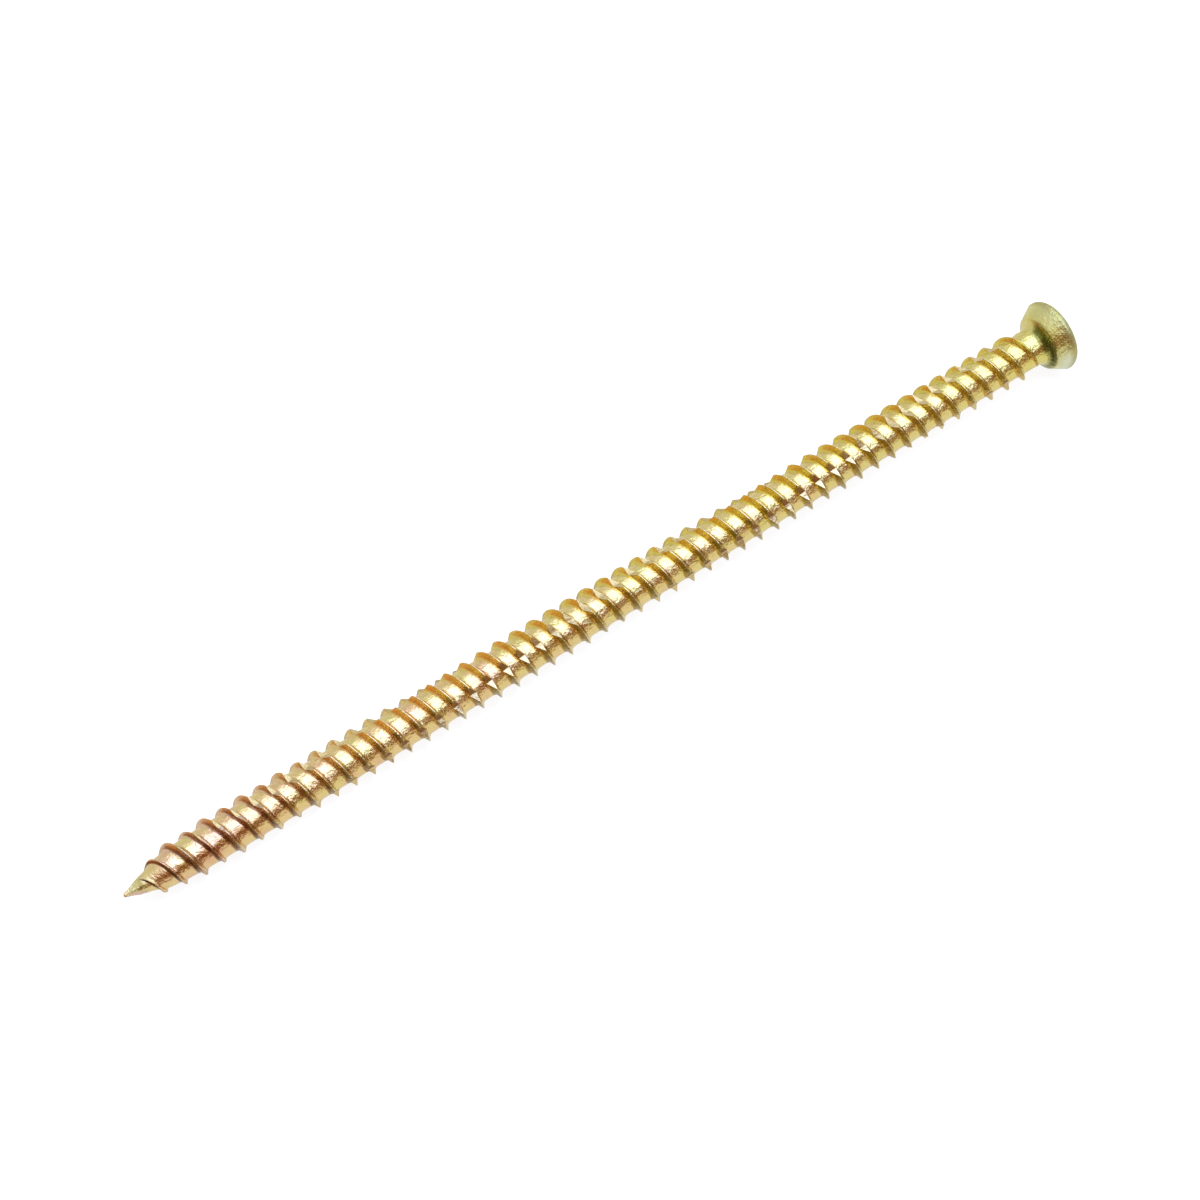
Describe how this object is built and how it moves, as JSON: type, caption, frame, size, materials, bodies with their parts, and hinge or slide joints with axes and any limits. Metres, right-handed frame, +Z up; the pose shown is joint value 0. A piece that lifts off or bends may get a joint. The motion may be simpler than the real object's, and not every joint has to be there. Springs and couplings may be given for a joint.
{
  "type": "window frame screw",
  "caption": "Long countersunk frame screw with a sharp point, a coarse notched thread over the whole shank and a six-lobed drive recess.",
  "frame": {"origin": "middle of the footprint of the lying screw, on the surface that it rests on", "axes": "+X runs from the point to the head, +Z is up; the axis of the screw rises slightly towards the head"},
  "size_m": [0.169, 0.0116, 0.0115],
  "materials": {
    "plated_steel": "satin"
  },
  "bodies": {
    "root": {"frame_screw": "plated_steel"}
  },
  "joints": []
}
